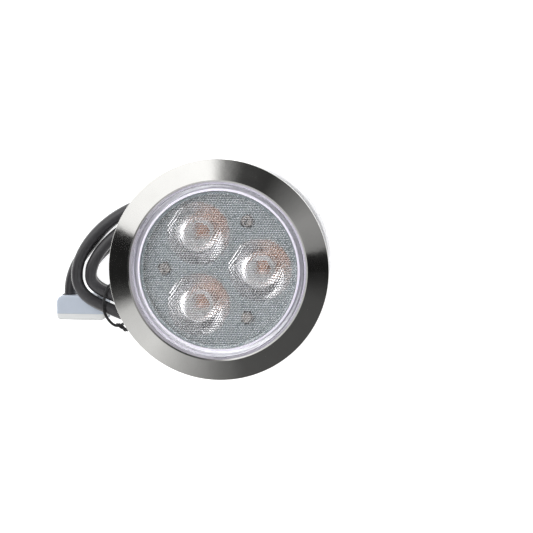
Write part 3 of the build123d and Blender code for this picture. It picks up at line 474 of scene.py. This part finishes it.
def make_clear_cup():
    """Clear cup: window with lenslets inside, nose, wide body and bayonet lugs."""
    bm = bmesh.new()
    boundary = lenslet_field(bm)
    outside = [
        (0, NOSE_FRONT, 0), (NOSE_RADIUS, NOSE_FRONT, NOSE_FILLET), (NOSE_RADIUS, SHOULDER, 0.3),
        (BODY_RADIUS, SHOULDER, 0.8), (BODY_RADIUS, THREAD_TOP, 0.2),
        (THREAD_RADIUS, THREAD_TOP, 0.1), (THREAD_RADIUS, BODY_END, 0.4),
        (BODY_BORE, BODY_END, 0.3), (BODY_BORE, INNER_SHOULDER, 0.4),
        (NOSE_BORE, INNER_SHOULDER, 0.3), (NOSE_BORE, WINDOW_BACK, 0.35),
        (NOSE_BORE - WINDOW_FILLET, WINDOW_BACK, 0),
    ]
    last = lathe(bm, rounded(outside), CUP_SEGMENTS)[-1]
    inner_edge = [bm.edges.get((last[i - 1], last[i])) for i in range(len(last))]
    bmesh.ops.triangle_fill(bm, use_beauty=True, edges=boundary + inner_edge)
    for angle in LUG_ANGLES:
        add_lug(bm, angle)
    bmesh.ops.recalc_face_normals(bm, faces=bm.faces)
    for face in bm.faces:
        middle = face.calc_center_median() / MM
        radius = math.hypot(middle.x, middle.y)
        if radius > NOSE_BORE - WALL_MARGIN and middle.z < NOSE_FRONT - FRONT_ROUNDING:
            on_nose = radius < NOSE_RADIUS + LUG_ROOT and middle.z > NOSE_WALL_END
            face.material_index = NOSE_WALL if on_nose else BODY_WALL
    mesh = bpy.data.meshes.new("clear_cup")
    bm.to_mesh(mesh)
    bm.free()
    for name in ("clear_plastic", "cup_wall", "lenslet_edge", "body_wall"):
        mesh.materials.append(MATERIALS[name])
    cup = bpy.data.objects.new("clear_cup", mesh)
    bpy.context.scene.collection.objects.link(cup)
    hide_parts("lens_cup")
    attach(cup, "housing")
    return cup


def dress_nodes():
    """Every carried-over CAD node takes the procedural material of its record slot."""
    for part in frame["record"]["subparts"]:
        node = NODES[part["node"]]
        material = MATERIALS[part["material_slot"]]
        if part["node"] == "rear_cap":
            material = MATERIALS["cap_plastic"]
        node.data.materials.clear()
        node.data.materials.append(material)


dress_nodes()
make_clear_cup()

# ---------------------------------------------------------------- camera
VIEW_DIRECTION = (0.145, 0.113, 0.983)       # from the ring's centre towards the camera
DISTANCE = 0.6
SENSOR = 36.0
LENS = 112.573
AIM_RIGHT = 17.352            # the camera aims beside the ring's centre, in millimetres
AIM_ABOVE = 1.26


def make_camera():
    """Camera looking down the light's axis, a little from the right and above."""
    toward = Vector(VIEW_DIRECTION).normalized()
    place = toward * DISTANCE
    up = Vector((0, 1, 0))
    right = (-toward).cross(up).normalized()
    above = right.cross(-toward)
    aim = right * (AIM_RIGHT * MM) + above * (AIM_ABOVE * MM)
    forward = (aim - place).normalized()
    right = forward.cross(up).normalized()
    above = right.cross(forward)
    data = bpy.data.cameras.new("camera")
    data.sensor_width = SENSOR
    data.lens = LENS
    data.clip_start = 0.01
    camera = bpy.data.objects.new("camera", data)
    bpy.context.scene.collection.objects.link(camera)
    turn = Matrix((right, above, -forward)).transposed()
    camera.matrix_world = Matrix.Translation(place) @ turn.to_4x4()
    bpy.context.scene.camera = camera
    return toward


VIEW_AXIS = make_camera()

# ---------------------------------------------------------------- studio
RING_SLOPE = math.radians(17.3)
RING_MIDDLE = 36.5            # middle of the ring's cone, radius and height
RING_HEIGHT = 2.0
# Panels round the light, as the ring's cone shows them: angle on the ring and brightness.
STUDIO_PANELS = [
    (0, 0.015), (11.1, 0.02), (12.1, 0.36), (30, 0.45), (45, 0.23), (60, 0.05), (76, 0.075),
    (86, 0.40), (94, 1.75), (156.5, 1.5), (157.5, 0.015), (187, 0.02), (196, 0.08), (204, 0.92),
    (228, 1.1), (250, 0.62), (270, 0.27), (285, 0.12), (345, 0.10), (357, 0.03),
]


def mirror_azimuth(angle):
    """Azimuth in which the ring's cone, at this angle, mirrors the camera."""
    outward = Vector((math.cos(angle), math.sin(angle), 0))
    axis = Vector((0, 0, 1))
    normal = outward * math.sin(RING_SLOPE) + axis * math.cos(RING_SLOPE)
    point = (outward * RING_MIDDLE + axis * RING_HEIGHT) * MM
    toward = (VIEW_AXIS * DISTANCE - point).normalized()
    mirrored = 2 * normal.dot(toward) * normal - toward
    return math.atan2(mirrored.y, mirrored.x) % (2 * math.pi)


PANEL_SCALE = 2.0             # a colour ramp holds no more than 1, so it holds the panels' half
OVERHEAD_LIGHT = 0.5
LOW_LIGHT = 0.85


def make_world():
    """Studio of soft panels round the object, plain white to the camera."""
    world = bpy.data.worlds.new("studio")
    bpy.context.scene.world = world
    world.use_nodes = True
    tree = world.node_tree
    tree.nodes.clear()
    source = add_node(tree, "ShaderNodeTexCoord")
    parts = add_node(tree, "ShaderNodeSeparateXYZ")
    join(tree, source.outputs["Generated"], parts.inputs[0])
    azimuth = calculate(tree, "ARCTAN2", parts.outputs["Y"], parts.outputs["X"])
    turn = calculate(tree, "FRACT", calculate(tree, "DIVIDE", azimuth, 2 * math.pi))
    ramp = add_node(tree, "ShaderNodeValToRGB")
    stops = sorted(
        (mirror_azimuth(math.radians(a)) / (2 * math.pi), level) for a, level in STUDIO_PANELS
    )
    elements = ramp.color_ramp.elements
    while len(elements) > 1:
        elements.remove(elements[-1])
    elements[0].position = stops[0][0]
    elements[0].color = rgba((stops[0][1] / PANEL_SCALE,) * 3)
    for position, level in stops[1:]:
        elements.new(position).color = rgba((level / PANEL_SCALE,) * 3)
    join(tree, turn, ramp.inputs["Fac"])
    panels = calculate(tree, "MULTIPLY", ramp.outputs["Color"], PANEL_SCALE)
    # Overhead and low down the studio is an even grey.
    overhead = span(tree, parts.outputs["Z"], 0.93, 0.97, smooth=True)
    low = span(tree, parts.outputs["Z"], 0.45, 0.15, smooth=True)
    value = add_node(tree, "ShaderNodeMix")
    join(tree, overhead, value.inputs["Factor"])
    join(tree, panels, value.inputs["A"])
    value.inputs["B"].default_value = OVERHEAD_LIGHT
    wide = add_node(tree, "ShaderNodeMix")
    join(tree, low, wide.inputs["Factor"])
    join(tree, value.outputs["Result"], wide.inputs["A"])
    wide.inputs["B"].default_value = LOW_LIGHT
    path = add_node(tree, "ShaderNodeLightPath")
    seen = add_node(tree, "ShaderNodeMix")
    join(tree, path.outputs["Is Camera Ray"], seen.inputs["Factor"])
    join(tree, wide.outputs["Result"], seen.inputs["A"])
    seen.inputs["B"].default_value = 1.0
    background = add_node(tree, "ShaderNodeBackground")
    join(tree, seen.outputs["Result"], background.inputs["Strength"])
    output = add_node(tree, "ShaderNodeOutputWorld")
    join(tree, background.outputs["Background"], output.inputs["Surface"])


FLOOR_HALF = 3.0
FLOOR_GAP = 0.3               # between the object's lowest point and the floor
FLOOR_GLOW = 0.8              # evens out the shadow on the pale floor


def make_floor():
    """Plain pale floor just under the lowest point; clear from below."""
    mesh = bpy.data.meshes.new("floor")
    level = cad_box[0].z - FLOOR_GAP * MM
    corners = ((-1, -1), (1, -1), (1, 1), (-1, 1))
    verts = [(x * FLOOR_HALF, y * FLOOR_HALF, level) for x, y in corners]
    mesh.from_pydata(verts, [], [(0, 1, 2, 3)])
    floor = bpy.data.objects.new("floor", mesh)
    bpy.context.scene.collection.objects.link(floor)
    material, tree = new_material("floor")
    diffuse = add_node(tree, "ShaderNodeBsdfDiffuse", {"Color": rgba((0.8, 0.8, 0.8))})
    glow = add_node(tree, "ShaderNodeEmission", {"Strength": FLOOR_GLOW})
    both = add_node(tree, "ShaderNodeAddShader")
    join(tree, diffuse.outputs["BSDF"], both.inputs[0])
    join(tree, glow.outputs["Emission"], both.inputs[1])
    clear = add_node(tree, "ShaderNodeBsdfTransparent")
    side = add_node(tree, "ShaderNodeNewGeometry")
    mix = add_node(tree, "ShaderNodeMixShader")
    join(tree, side.outputs["Backfacing"], mix.inputs["Fac"])
    join(tree, both.outputs["Shader"], mix.inputs[1])
    join(tree, clear.outputs["BSDF"], mix.inputs[2])
    finish_surface(tree, mix.outputs["Shader"])
    mesh.materials.append(material)


def soft_light(name, place, size, watts):
    """Square soft box aimed at the object; the ring doesn't mirror it."""
    data = bpy.data.lights.new(name, "AREA")
    data.size = size
    data.energy = watts
    light = bpy.data.objects.new(name, data)
    bpy.context.scene.collection.objects.link(light)
    light.location = place
    light.rotation_euler = (-Vector(place)).to_track_quat("-Z", "Y").to_euler()
    light.visible_glossy = False
    light.visible_camera = False


make_world()
make_floor()
soft_light("overhead", (-0.35, 0.4, 1.3), 0.9, 14.0)

scene = bpy.context.scene
scene.view_settings.view_transform = "Standard"
scene.cycles.max_bounces = 16
scene.cycles.transmission_bounces = 16
scene.cycles.transparent_max_bounces = 16
